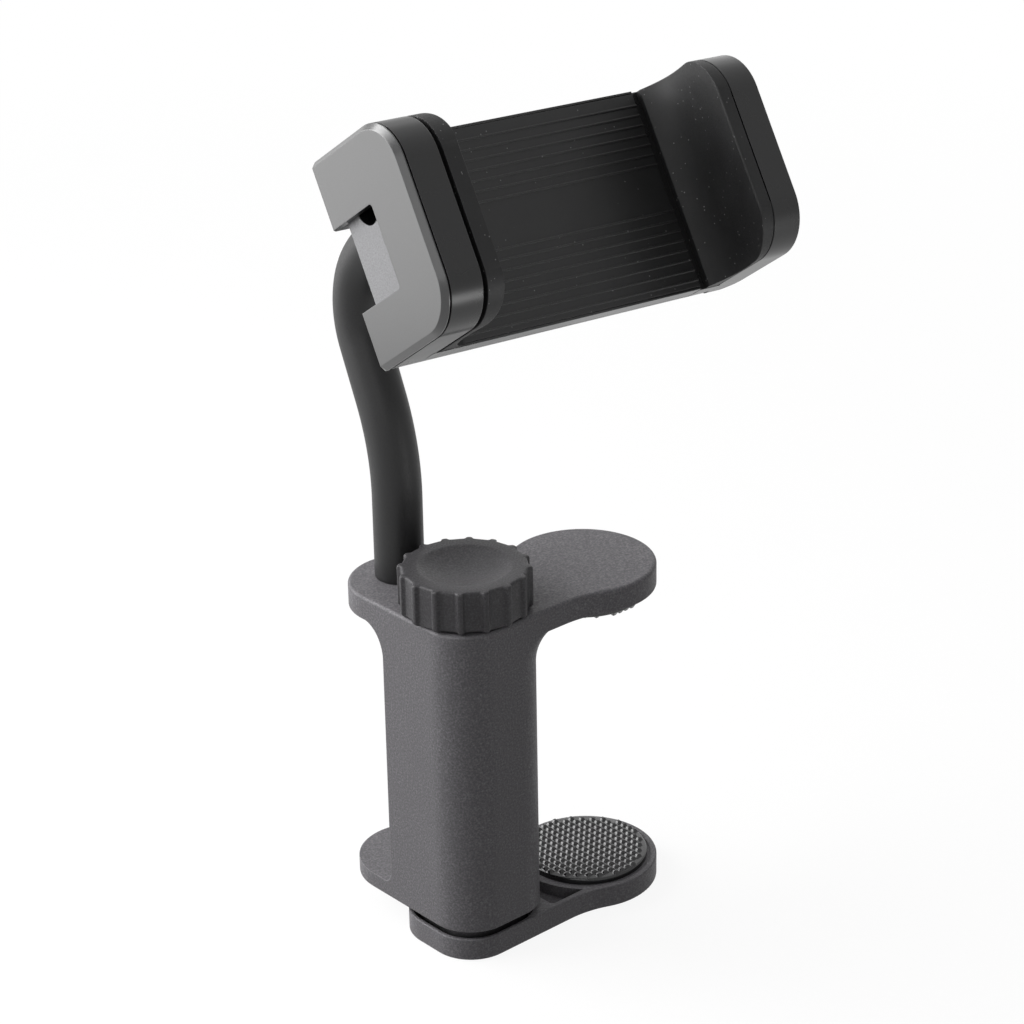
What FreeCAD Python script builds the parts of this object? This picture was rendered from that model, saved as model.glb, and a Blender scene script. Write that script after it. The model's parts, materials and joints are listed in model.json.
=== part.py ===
import FreeCAD, Part
import math
import os
from FreeCAD import Placement, Rotation, Vector

os.makedirs("parts", exist_ok=True)

# Phone holder for a guitar. Millimetres, +Z up, X is the reach of the clamp's jaws.
# Origin: underside of the lower jaw, on the axis of the clamp screw.

# Making allowances
bite = 0.5          # how far joined forms reach into each other
past = 1.0          # how far a cutter runs beyond a face
snug = 0.05         # gap of pieces that are pressed or screwed together
loose = 0.2         # gap of pieces that only lie in each other

# Lower jaw with its stem
lower_jaw_t = 5.4
closed_gap = 2.0
jaw_edge_round = 0.3
stem_clearance = 0.3
stem_bore_r = 3.8
stem_floor = 4.0
stem_wall = 2.2
stem_top_gap = 9.0
nut_seat_t = 4.0
pocket_depth = 3.0
pocket_wall = 1.3
pocket_round = 1.0
pocket_ring_wall = 1.4
moat_rim = 0.9
moat_depth = 2.6

# Clamp column and its plates
column_half = 13.5
front_left_round = 10.0
front_right_round = 9.0
back_round = 0.6
body_h = 75.0
plate_t = 5.5
cap_t = 7.4
shelf_t = 3.6
shelf_fillet = 2.0
flange_reach = 6.5
inner_corner_round = 4.0
jaw_fillet = 8.0
flange_fillet = 7.0
flare_steps = 8
flare_deg = 80.0
flare_spread = 14.0
plate_edge_round = 0.8
cavity_half = 11.0
cavity_round = 6.5

# Round jaw ends
upper_lobe_x = 34.8
upper_lobe_r = 17.1
lower_lobe_x = 35.1
lower_lobe_r = 17.0
waist_r = 25.0

# Toothed pads
pad_r = 14.7
pad_ring_gap = 0.8
pad_seat = 0.2
pad_t = 2.2
upper_pad_t = 3.0
tooth_pitch = 1.8
tooth_gap = 1.1
tooth_depth = 0.75

# Screw, nut and knob
screw_r = 3.0
screw_fit = 0.05
screw_low_z = 12.0
nut_half = 5.5
nut_h = 6.0
nut_fit = 0.05
nut_sunk = 0.5
drive_half = 2.2
drive_cover = 1.6
knob_r = 15.0
knob_gap = 0.45
knob_h = 9.75
knob_ribs = 16
knob_foot_chamfer = 0.4
flute_r = 3.0
flute_depth = 0.95
dish_r = 10.5
dish_depth = 2.6
rim_round = 1.3
rim_steps = 4
washer_r = 8.5
washer_seat = 0.6
washer_gap = 0.1
clip_ring_r = 5.2
clip_ring_t = 1.0
clip_ring_mouth = 3.0
clip_groove_r = 2.3
clip_ring_gap = 0.1

# Bendable neck: straight and bent runs in one upright plane
neck_from_column = 9.2
neck_turn = -4.18
neck_r = 5.67
neck_core_r = 4.0
neck_wall_gap = 0.2
neck_rise = 19.4
bend_1_r = 52.4
bend_1_deg = 25.3
neck_slant = 12.8
bend_2_r = 19.4
bend_2_deg = 65.3
bend_3_r = 37.2
bend_3_deg = 45.0
neck_end_run = 21.7
foot_h = 6.0
foot_pin_r = 3.0
foot_pin_depth = 3.6
foot_screw_r = 1.5
foot_screw_head_r = 3.0
foot_screw_len = 7.0
foot_slot_w = 0.8
foot_slot_depth = 0.7

# Ball joint behind the clip
ball_r = 5.5
ball_fit = 0.05
stud_r = 2.4
collar_from_ball = 12.0
collar_t = 2.0
plug_len = 6.0
ball_to_bed = 19.0
socket_r = 9.0
ring_r = 10.5
ring_ribs = 12
ring_flute_r = 1.6
ring_flute_depth = 0.6
ring_lip = 3.4
ring_skirt = 8.0
mouth_deg = 66.0
spigot_r = 5.0
spigot_fit = 0.1
turn_gap = 0.3
pivot_screw_r = 1.5
pivot_head_r = 3.5
pivot_head_t = 1.5
pivot_len = 8.0
pivot_washer_r = 6.2
pivot_washer_t = 0.8
pivot_play = 0.1
pivot_slot_w = 0.8
pivot_slot_depth = 0.8

# Phone clip. Its own frame: x along the clip, y across it, z out of the bed
clip_lean = 55.17
clip_roll = -2.5
clip_half_w = 21.8
jaw_draft = 0.4
jaw_tip = 24.1
jaw_round = 10.0
low_edge_round = 1.2
clip_back = 7.4
cover_split = 4.3
cover_taper = 0.3
cover_edge_round = 0.8
seam = 0.2
fixed_end = 43.8
moving_end = 43.5
end_plate_t = 1.7
end_chamfer = 1.1
end_wall_t = 2.1
notch_low_y = -9.7
notch_high_y = 7.6
notch_z = 9.7
notch_round = 0.9
notch_depth = 2.9
end_wall_back = 3.0
bore_r = 4.1
bore_y = 8.5
bore_z = 5.6
bore_depth = 5.0
fixed_shell_x = -34.8
moving_shell_x = 36.9
bed_end = 31.5
jaw_gap = 0.3
moving_toe_gap = 2.0
bed_pad_t = 1.2
bed_plate_t = 1.6
bed_rim = 0.5
bed_pad_start = -28.0
rib_h = 0.3
rib_w = 0.9
rib_pitch = 2.17
upper_ribs_y = 5.6
lower_ribs_y = -4.6
upper_ribs = 7
lower_ribs = 8
side_wall = 1.8
cover_floor = 1.5
cover_lap = 1.0
moving_back_round = 6.0

# Rubber linings of the jaws, seen from the clip's side
fixed_lip = 5.0
moving_lip = 3.2
lip_round = 0.5
lip_lean = 1.0
lip_drop = 6.0
hollow_depth = 2.6
lining_min = 0.8
hollow_top = 11.6
hollow_low = 6.0
foot_curve = 2.4
foot_reach = 1.3
foot_t = 0.3

# Spring slide of the clip
jaw_travel = 24.0
arm_in_y = 11.5
arm_out_y = 18.0
arm_t = 2.4
arm_gap = 0.3
arm_root_wall = 2.8
tail_gap = 2.0
tab_w = 3.0
tab_past_rod = 1.6
spring_y = 8.7
spring_r = 1.4
spring_wire_r = 0.25
spring_coils = 14
spring_short = 19.0
spring_play = 0.1
rod_r = 0.6
rod_fit = 0.15
stop_t = 2.0
stop_half_w = 1.8
post_r = 2.2
post_y = 4.2
post_left_x = -24.0
post_right_x = 20.0
cover_screw_r = 0.9
cover_screw_head_r = 1.8
cover_screw_head_t = 0.9
cover_screw_len = 4.2
cover_slot_w = 0.5
cover_slot_depth = 0.45
cover_slot_len = 2.4

# Levels and places that follow from these sizes
body_bottom = lower_jaw_t + closed_gap
body_top = body_bottom + body_h
plate_low = body_top - plate_t
cavity_top = body_top - cap_t
stem_top = cavity_top - stem_top_gap
knob_bottom = body_top + knob_gap
knob_top = knob_bottom + knob_h
flange_end_y = column_half + flange_reach
neck_y = column_half + neck_from_column
inner_end = -fixed_end + end_plate_t
arm_tail_x = inner_end + end_wall_t + tail_gap
stop_x = arm_tail_x + tab_w + jaw_travel + spring_short

ORIGIN = Vector(0, 0, 0)
X = Vector(1, 0, 0)
Y = Vector(0, 1, 0)
Z = Vector(0, 0, 1)


def rounded_wire(corners, z=0.0):
    """Closed outline from (x, y, radius) corners."""
    count = len(corners)
    starts, ends, mids = [], [], []
    for i in range(count):
        x, y, r = corners[i]
        here = Vector(x, y, z)
        before = Vector(corners[i - 1][0], corners[i - 1][1], z) - here
        after = Vector(corners[(i + 1) % count][0], corners[(i + 1) % count][1], z) - here
        before.normalize()
        after.normalize()
        if r <= 0:
            starts.append(here)
            ends.append(here)
            mids.append(None)
            continue
        half = before.getAngle(after) / 2.0
        back_off = r / math.tan(half)
        centre_way = before + after
        centre_way.normalize()
        centre = here + centre_way * (r / math.sin(half))
        starts.append(here + before * back_off)
        ends.append(here + after * back_off)
        mids.append(centre - centre_way * r)
    edges = []
    for i in range(count):
        if mids[i] is not None:
            edges.append(Part.Arc(starts[i], mids[i], ends[i]).toShape())
        following = starts[(i + 1) % count]
        if ends[i].distanceToPoint(following) > 1e-6:
            edges.append(Part.makeLine(ends[i], following))
    return Part.Wire(edges)


def prism(corners, z0, z1):
    return Part.Face(rounded_wire(corners, z0)).extrude(Z * (z1 - z0))


def square_bar(half, r, z0, z1):
    """Square bar on the screw axis with round corners."""
    return prism([(-half, -half, r), (half, -half, r), (half, half, r), (-half, half, r)], z0, z1)


def box(x0, x1, y0, y1, z0, z1):
    return Part.makeBox(x1 - x0, y1 - y0, z1 - z0, Vector(x0, y0, z0))


def cylinder(r, z0, z1, x=0.0, y=0.0):
    return Part.makeCylinder(r, z1 - z0, Vector(x, y, z0), Z)


def cylinder_x(r, x0, x1, y, z):
    return Part.makeCylinder(r, x1 - x0, Vector(x0, y, z), X)


def turned(profile):
    """Solid of revolution about the Z axis from (radius, z) points."""
    points = [Vector(r, 0, z) for r, z in profile]
    points.append(points[0])
    return Part.Face(Part.makePolygon(points)).revolve(ORIGIN, Z, 360)


def along_x(corners, x0, x1):
    """Outline in y and z, drawn out along x."""
    solid = prism(corners, x0, x1)
    solid.rotate(ORIGIN, Vector(1, 1, 1), 120)
    return solid


def edges_at(shape, z):
    found = []
    for edge in shape.Edges:
        low = edge.BoundBox.ZMin
        high = edge.BoundBox.ZMax
        if abs(low - z) < 1e-4 and abs(high - z) < 1e-4:
            found.append(edge)
    return found


def waist(lobe_x, lobe_r):
    """Where the straight side meets the hollow bend, and where that meets the lobe."""
    bend_y = -(column_half + waist_r)
    reach = waist_r + lobe_r
    bend_x = lobe_x - math.sqrt(reach ** 2 - bend_y ** 2)
    share = lobe_r / reach
    meet = Vector(lobe_x + (bend_x - lobe_x) * share, bend_y * share, 0)
    middle = Vector(bend_x, bend_y, 0)
    top = Vector(bend_x, -column_half, 0)
    way = (top - middle) + (meet - middle)
    way.normalize()
    return top, middle + way * waist_r, meet


def mirrored(point):
    return Vector(point.x, -point.y, point.z)


def lobe_edges(lobe_x, lobe_r):
    """Both hollow bends and the lobe between them, from the -Y side to the +Y side."""
    top, bend, meet = waist(lobe_x, lobe_r)
    tip = Vector(lobe_x + lobe_r, 0, 0)
    first = Part.Arc(top, bend, meet).toShape()
    lobe = Part.Arc(meet, tip, mirrored(meet)).toShape()
    last = Part.Arc(mirrored(meet), mirrored(bend), mirrored(top)).toShape()
    return [first, lobe, last], top


def quarter(start, corner, end, r):
    """Round corner: start and end are the tangent points."""
    inward = (start - corner) + (end - corner)
    inward.normalize()
    middle = corner + inward * (r * (math.sqrt(2) - 1))
    return Part.Arc(start, middle, end).toShape()


def top_plate_wire():
    h = column_half
    r = front_left_round
    lobe, lobe_start = lobe_edges(upper_lobe_x, upper_lobe_r)
    inner_r = min(inner_corner_round, (lobe_start.x - h) * 0.95, flange_reach * 0.95)
    a = Vector(-h, flange_end_y, 0)
    b = Vector(-h, -h + r, 0)
    c = Vector(-h + r, -h, 0)
    d = Vector(h + inner_r, h, 0)
    e = Vector(h, h + inner_r, 0)
    f = Vector(h, flange_end_y, 0)
    edges = [Part.makeLine(a, b), quarter(b, Vector(-h, -h, 0), c, r), Part.makeLine(c, lobe_start)]
    edges += lobe
    edges.append(Part.makeLine(mirrored(lobe_start), d))
    edges.append(quarter(d, Vector(h, h, 0), e, inner_r))
    edges.append(Part.makeLine(e, f))
    edges.append(Part.Arc(f, Vector(0, flange_end_y + h, 0), a).toShape())
    return Part.Wire(edges)


def lower_jaw_wire():
    h = column_half
    r = front_left_round
    lobe, lobe_start = lobe_edges(lower_lobe_x, lower_lobe_r)
    a = Vector(-h + r, h, 0)
    b = Vector(-h, h - r, 0)
    edges = [quarter(a, Vector(-h, h, 0), b, r), Part.makeLine(b, mirrored(b))]
    edges += [quarter(mirrored(b), Vector(-h, -h, 0), mirrored(a), r)]
    edges.append(Part.makeLine(mirrored(a), lobe_start))
    edges += lobe
    edges.append(Part.makeLine(mirrored(lobe_start), a))
    return Part.Wire(edges)


def column_corners(out):
    """Column's section; out, 0 to 1, is how far it has leaned out towards the jaw and the flange."""
    h = column_half
    right = h + jaw_fillet * out
    back = h + flange_fillet * out
    return [(-h, -h, front_left_round), (right, -h, front_right_round),
            (right, back, front_right_round + flare_spread * out), (-h, back, back_round)]


def toothed_pad(lobe_x, thick):
    """Disc whose upper face is cut into square teeth; its underside is at z = 0."""
    pad = cylinder(pad_r, 0, thick)
    half = int(pad_r / tooth_pitch)
    groove = [(-tooth_gap / 2, thick, 0), (tooth_gap / 2, thick, 0), (0, thick - tooth_depth, 0)]
    across = []
    for i in range(-half, half + 1):
        tool = along_x(groove, -pad_r - past, pad_r + past)
        tool.translate(Vector(0, i * tooth_pitch, 0))
        across.append(tool)
    pad = pad.cut(across)
    along = []
    for tool in across:
        turned_tool = tool.copy()
        turned_tool.rotate(ORIGIN, Z, 90)
        along.append(turned_tool)
    pad = pad.cut(along)
    pad.translate(Vector(lobe_x, 0, 0))
    return pad


parts = {}

# Clamp body: plate, column and the hollow round between them
plate = Part.Face(top_plate_wire()).extrude(Z * plate_t)
plate.translate(Z * plate_low)
plate = plate.makeFillet(plate_edge_round, edges_at(plate, body_top))
flare_low = plate_low - jaw_fillet * math.sin(math.radians(flare_deg))
column = prism(column_corners(0), body_bottom, flare_low)
sections = []
for step in range(flare_steps + 1):
    turn = math.radians(flare_deg * step / flare_steps)
    sections.append(rounded_wire(column_corners(1 - math.cos(turn)), flare_low + jaw_fillet * math.sin(turn)))
flare = Part.makeLoft(sections, True, False)

# Shelf at the column's foot and the hollow round above it
shelf_left = Vector(-column_half, flange_end_y, 0)
shelf_right = Vector(column_half, flange_end_y, 0)
shelf_back = Vector(0, flange_end_y + column_half, 0)
shelf_edges = [Part.makeLine(shelf_left, Vector(-column_half, 0, 0)),
               Part.makeLine(Vector(-column_half, 0, 0), Vector(column_half, 0, 0)),
               Part.makeLine(Vector(column_half, 0, 0), shelf_right),
               Part.Arc(shelf_right, shelf_back, shelf_left).toShape()]
shelf = Part.Face(Part.Wire(shelf_edges)).extrude(Z * shelf_t)
shelf.translate(Z * body_bottom)
shelf_top = body_bottom + shelf_t
round_y = column_half + shelf_fillet
round_z = shelf_top + shelf_fillet
round_end_x = column_half - front_right_round
shelf_round = box(-column_half, round_end_x, column_half - back_round - bite, round_y, shelf_top - bite, round_z)
shelf_round = shelf_round.cut(cylinder_x(shelf_fillet, -column_half - past, column_half, round_y, round_z))
body = column.fuse([flare, plate, shelf, shelf_round]).removeSplitter()

# Hollows of the clamp body
cavity = square_bar(cavity_half, cavity_round, body_bottom - past, cavity_top)
screw_hole = cylinder(screw_r + screw_fit, cavity_top - past, body_top + past)
washer_recess = cylinder(washer_r + loose, body_top - washer_seat, body_top + past)
pad_recess = cylinder(pad_r + pad_ring_gap, plate_low - past, plate_low + pad_seat, upper_lobe_x)
foot_hole = cylinder(foot_pin_r, body_top - foot_pin_depth, body_top + past, 0, neck_y)
foot_screw_hole = cylinder(foot_screw_r, plate_low - past, body_top, 0, neck_y)
head_drop = foot_screw_head_r - foot_screw_r
foot_head = Part.makeCone(foot_screw_head_r, foot_screw_r, head_drop, Vector(0, neck_y, plate_low), Z)
foot_sink = foot_head.fuse(cylinder(foot_screw_head_r, plate_low - jaw_fillet, plate_low, 0, neck_y))
parts["clamp_body"] = body.cut([cavity, screw_hole, washer_recess, pad_recess, foot_hole,
                                foot_screw_hole, foot_sink])

# Toothed pads
lower_pad = toothed_pad(lower_lobe_x, pad_t)
lower_pad.translate(Z * (lower_jaw_t - pad_seat))
parts["lower_pad"] = lower_pad
upper_pad = toothed_pad(upper_lobe_x, upper_pad_t)
upper_pad.rotate(Vector(upper_lobe_x, 0, 0), X, 180)
upper_pad.translate(Z * (plate_low + pad_seat))
parts["upper_pad"] = upper_pad

# Lower jaw with its hollow stem, and the nut
jaw = Part.Face(lower_jaw_wire()).extrude(Z * lower_jaw_t)
jaw = jaw.makeFillet(jaw_edge_round, edges_at(jaw, 0) + edges_at(jaw, lower_jaw_t))
stem_half = cavity_half - stem_clearance
stem_round = cavity_round - stem_clearance
stem = square_bar(stem_half, stem_round, lower_jaw_t - bite, stem_top)
nut_low = stem_top - nut_h - nut_sunk
pad_hole_r = pad_r + pad_ring_gap
pad_hole = cylinder(pad_hole_r, lower_jaw_t - pad_seat, lower_jaw_t + past, lower_lobe_x)
pocket_half = column_half - pocket_wall
pocket = prism([(column_half, -pocket_half, pocket_round), (lower_lobe_x, -pocket_half, pocket_round),
                (lower_lobe_x, pocket_half, pocket_round), (column_half, pocket_half, pocket_round)],
               lower_jaw_t - pocket_depth, lower_jaw_t + past)
pocket = pocket.cut(cylinder(pad_hole_r + pocket_ring_wall, 0, lower_jaw_t + past, lower_lobe_x))
moat = square_bar(column_half - moat_rim, front_left_round - moat_rim, lower_jaw_t - moat_depth, lower_jaw_t + past)
moat = moat.cut(square_bar(stem_half, stem_round, 0, stem_top))
stem_bore = cylinder(stem_bore_r, stem_floor, stem_top + past)
stem_hollow = square_bar(stem_half - stem_wall, stem_round - stem_wall, stem_floor, nut_low - nut_seat_t)
nut_hole = nut_half + nut_fit
nut_pocket = box(-nut_hole, nut_hole, -nut_hole, nut_hole, nut_low, stem_top + past)
parts["lower_jaw"] = jaw.fuse(stem).removeSplitter().cut(
    [pad_hole, pocket, moat, stem_bore, stem_hollow, nut_pocket])
nut = box(-nut_half, nut_half, -nut_half, nut_half, nut_low, nut_low + nut_h)
parts["stem_nut"] = nut.cut(cylinder(screw_r + screw_fit, nut_low - past, stem_top + past))

# Screw, ring and washer
ring_low_z = cavity_top - clip_ring_t - clip_ring_gap
ring_high_z = ring_low_z + clip_ring_t
drive_top = knob_top - dish_depth - drive_cover
screw = cylinder(screw_r, screw_low_z, knob_bottom)
screw = screw.fuse(box(-drive_half, drive_half, -drive_half, drive_half, knob_bottom - bite, drive_top))
groove = cylinder(screw_r + past, ring_low_z, ring_high_z)
groove = groove.cut(cylinder(clip_groove_r, ring_low_z, ring_high_z))
parts["lead_screw"] = screw.cut(groove)
ring = cylinder(clip_ring_r, ring_low_z + snug, ring_high_z - snug)
ring = ring.cut(cylinder(clip_groove_r + snug, ring_low_z, ring_high_z))
parts["screw_clip"] = ring.cut(box(0, clip_ring_r + past, -clip_ring_mouth / 2, clip_ring_mouth / 2,
                                   ring_low_z, ring_high_z))
washer_low = body_top - washer_seat
washer = cylinder(washer_r, washer_low, knob_bottom - washer_gap)
parts["thrust_washer"] = washer.cut(cylinder(screw_r + loose, washer_low, knob_bottom))

# Knob with a rounded rim, a dished top and flutes
knob_profile = [(0, knob_bottom), (knob_r - knob_foot_chamfer, knob_bottom),
                (knob_r, knob_bottom + knob_foot_chamfer)]
for step in range(rim_steps + 1):
    turn = math.radians(90.0 * step / rim_steps)
    knob_profile.append((knob_r - rim_round + rim_round * math.cos(turn),
                         knob_top - rim_round + rim_round * math.sin(turn)))
dish_ball = (dish_r ** 2 + dish_depth ** 2) / (2 * dish_depth)
knob = turned(knob_profile + [(0, knob_top)])
knob = knob.cut(Part.makeSphere(dish_ball, Vector(0, 0, knob_top - dish_depth + dish_ball)))
flutes = []
flute_at = knob_r - flute_depth + flute_r
for i in range(knob_ribs):
    turn = math.radians(360.0 * (i + 0.5) / knob_ribs)
    flutes.append(cylinder(flute_r, knob_bottom - past, knob_top + past,
                           flute_at * math.cos(turn), flute_at * math.sin(turn)))
knob = knob.cut(flutes)
drive_hole = drive_half + nut_fit
parts["knob"] = knob.cut(box(-drive_hole, drive_hole, -drive_hole, drive_hole,
                             knob_bottom - past, drive_top + nut_fit))

# Neck route, followed step by step in the upright plane that the clip faces along
facing = Rotation(Z, neck_turn)
neck_back = facing.multVec(Y)


def step_way(lean):
    """Direction in the neck's plane; lean is the angle from upright, positive to the back."""
    angle = math.radians(lean)
    return neck_back * math.sin(angle) + Z * math.cos(angle)


def follow(start, lean, length):
    return start + step_way(lean) * length


def bend(start, lean, turn, radius):
    """Arc that changes the lean by turn degrees; gives its edge and its end."""
    side = 1 if turn > 0 else -1
    centre = start + step_way(lean + 90 * side) * radius
    end = centre - step_way(lean + turn + 90 * side) * radius
    middle = centre - step_way(lean + turn / 2.0 + 90 * side) * radius
    return Part.Arc(start, middle, end).toShape(), end


seat = Vector(0, neck_y, body_top)
p1 = follow(seat, 0, neck_rise)
arc_1, p2 = bend(p1, 0, bend_1_deg, bend_1_r)
p3 = follow(p2, bend_1_deg, neck_slant)
arc_2, p4 = bend(p3, bend_1_deg, -bend_2_deg, bend_2_r)
lean_2 = bend_1_deg - bend_2_deg
arc_3, p5 = bend(p4, lean_2, -bend_3_deg, bend_3_r)
end_lean = lean_2 - bend_3_deg
ball_at = follow(p5, end_lean, neck_end_run)
sleeve_end = follow(ball_at, end_lean, -collar_from_ball - collar_t)
core_start = follow(seat, 0, foot_h)
core_end = follow(sleeve_end, end_lean, -plug_len)


def tube(route, r, start):
    ring_edge = Part.makeCircle(r, start, Z)
    return route.makePipeShell([Part.Wire(ring_edge)], True, False)


bent_runs = [arc_1, Part.makeLine(p2, p3), arc_2, arc_3]
sleeve_route = Part.Wire([Part.makeLine(seat, p1)] + bent_runs + [Part.makeLine(p5, sleeve_end)])
core_route = Part.Wire([Part.makeLine(core_start, p1)] + bent_runs + [Part.makeLine(p5, core_end)])
sleeve_bore = tube(sleeve_route, neck_core_r + neck_wall_gap, seat)
parts["neck_sleeve"] = tube(sleeve_route, neck_r, seat).cut(sleeve_bore)
parts["neck_core"] = tube(core_route, neck_core_r, core_start)

# Foot of the neck and its screw from below
foot = cylinder(neck_core_r, body_top, body_top + foot_h, 0, neck_y)
foot = foot.fuse(cylinder(foot_pin_r, body_top - foot_pin_depth, body_top, 0, neck_y))
foot_screw_top = plate_low + foot_screw_len
parts["neck_foot"] = foot.cut(cylinder(foot_screw_r, plate_low, foot_screw_top, 0, neck_y))
foot_screw = cylinder(foot_screw_r, plate_low + head_drop, foot_screw_top, 0, neck_y)
foot_slot = box(-foot_slot_w / 2, foot_slot_w / 2, neck_y - foot_screw_head_r, neck_y + foot_screw_head_r,
                plate_low - past, plate_low + foot_slot_depth)
parts["neck_screw"] = foot_screw.fuse(foot_head).cut(foot_slot)

# Ball stud: drawn upright with the ball's centre at the origin, then set on the neck's end
collar_low = -collar_from_ball - collar_t
stud = Part.makeSphere(ball_r)
stud = stud.fuse([cylinder(stud_r, -collar_from_ball, 0), cylinder(neck_r, collar_low, -collar_from_ball),
                  cylinder(neck_core_r, collar_low - plug_len, collar_low)])
parts["ball_stud"] = stud.removeSplitter()
parts["ball_stud"].Placement = Placement(ball_at, Rotation(Z, step_way(end_lean)))

# Phone clip, in its own frame
clip_parts = {}
w = clip_half_w
top_of_cover = -cover_split - seam
plate_back = -bed_pad_t - bed_plate_t
floor_z = -clip_back + cover_floor
mid_z = (plate_back + floor_z) / 2.0
screw_low = -clip_back
post_places = [(x, side * post_y) for x in (post_left_x, post_right_x) for side in (-1, 1)]


def between(side, near, far):
    """The two ends, low first, of a stretch from near to far on one side."""
    return sorted((side * near, side * far))


def jaw_outline(low, low_r):
    """Jaw seen along the clip: upright sides that lean in a little, round at the tip."""
    tip_w = w - jaw_draft
    return [(-w, low, low_r), (w, low, low_r), (tip_w, jaw_tip, jaw_round), (-tip_w, jaw_tip, jaw_round)]


def cover_outline(high):
    """Cover seen along the clip, up to the given level."""
    low_w = w - cover_taper
    return [(-low_w, -clip_back, cover_edge_round), (low_w, -clip_back, cover_edge_round),
            (w, top_of_cover, 0), (w, high, 0), (-w, high, 0), (-w, top_of_cover, 0)]


# Frame: fixed jaw and bed, hollow from behind
frame = along_x(jaw_outline(-cover_split, 0), inner_end, fixed_shell_x)
frame = frame.fuse(box(fixed_shell_x - bite, bed_end, -w, w, -cover_split, -bed_pad_t))
for side in (-1, 1):
    rim_y0, rim_y1 = between(side, w - bed_rim, w)
    frame = frame.fuse(box(fixed_shell_x - bite, bed_end, rim_y0, rim_y1, -bed_pad_t - bite, 0))
inside_w = w - side_wall
frame = frame.cut(box(inner_end + end_wall_t, bed_end + past, -inside_w, inside_w,
                      -cover_split - past, plate_back))
frame = frame.cut(box(inner_end - past, inner_end + notch_depth, notch_low_y, notch_high_y,
                      -cover_split - past, -end_wall_back))
frame = frame.cut(cylinder_x(bore_r, inner_end, inner_end + bore_depth, bore_y, bore_z))
for side in (-1, 1):
    stop_y = side * spring_y
    frame = frame.fuse(box(stop_x, stop_x + stop_t, stop_y - stop_half_w, stop_y + stop_half_w,
                           floor_z + loose, plate_back + bite))
for x, y in post_places:
    frame = frame.fuse(cylinder(post_r, floor_z + snug, plate_back + bite, x, y))
for side in (-1, 1):
    frame = frame.cut(cylinder_x(rod_r, stop_x, stop_x + stop_t, side * spring_y, mid_z))
for x, y in post_places:
    frame = frame.cut(cylinder(cover_screw_r, screw_low, screw_low + cover_screw_len, x, y))
clip_parts["clip_frame"] = frame.removeSplitter()

# Notched plate on the fixed end, its outer edge bevelled
outer = along_x(jaw_outline(-clip_back, low_edge_round), -fixed_end, inner_end - snug)
bevelled = [edge for edge in outer.Edges if edge.BoundBox.XMax < -fixed_end + 1e-4]
outer = outer.makeChamfer(end_chamfer, bevelled)
notch_low_z = -clip_back - past
notch = along_x([(notch_low_y, notch_low_z, 0), (notch_high_y, notch_low_z, 0),
                 (notch_high_y, notch_z, notch_round), (notch_low_y, notch_z, notch_round)],
                -fixed_end - past, inner_end + past)
clip_parts["end_plate"] = outer.cut(notch)

# Back cover and its screws
cover_x0 = inner_end + snug
cover_in = inside_w - cover_lap
cover = along_x(cover_outline(top_of_cover)[:3] + [(-w, top_of_cover, 0)], cover_x0, bed_end)
cover = cover.cut(box(cover_x0 + end_wall_t, bed_end + past, -cover_in, cover_in, floor_z, 0))
cover = cover.cut(box(cover_x0 - past, cover_x0 + notch_depth, notch_low_y, notch_high_y, notch_low_z, 0))
cover = cover.cut(cylinder(spigot_r + spigot_fit, -clip_back - past, 0))
for i, (x, y) in enumerate(post_places):
    head = Part.makeCone(cover_screw_head_r, cover_screw_r, cover_screw_head_t, Vector(x, y, screw_low), Z)
    cover = cover.cut(head.fuse(cylinder(cover_screw_r, screw_low - past, 0, x, y)))
    shank = cylinder(cover_screw_r, screw_low + cover_screw_head_t, screw_low + cover_screw_len, x, y)
    slot = box(x - cover_slot_len / 2, x + cover_slot_len / 2, y - cover_slot_w / 2, y + cover_slot_w / 2,
               screw_low - past, screw_low + cover_slot_depth)
    clip_parts["cover_screw_%d" % (i + 1)] = head.fuse(shank).cut(slot)
clip_parts["back_cover"] = cover

# Ribbed panel on the bed
panel_start = bed_pad_start + seam
panel_w = w - bed_rim - seam / 2
panel = box(panel_start, bed_end, -panel_w, panel_w, -bed_pad_t, 0)
rib_rows = [upper_ribs_y + rib_pitch * i for i in range(upper_ribs)]
rib_rows += [lower_ribs_y - rib_pitch * i for i in range(lower_ribs)]
ribs = []
for y in rib_rows:
    ribs.append(along_x([(y - rib_w / 2, -bite, 0), (y + rib_w / 2, -bite, 0),
                         (y + rib_w / 4, rib_h, 0), (y - rib_w / 4, rib_h, 0)], panel_start, bed_end))
clip_parts["bed_pad"] = panel.fuse(ribs).removeSplitter()


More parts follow.
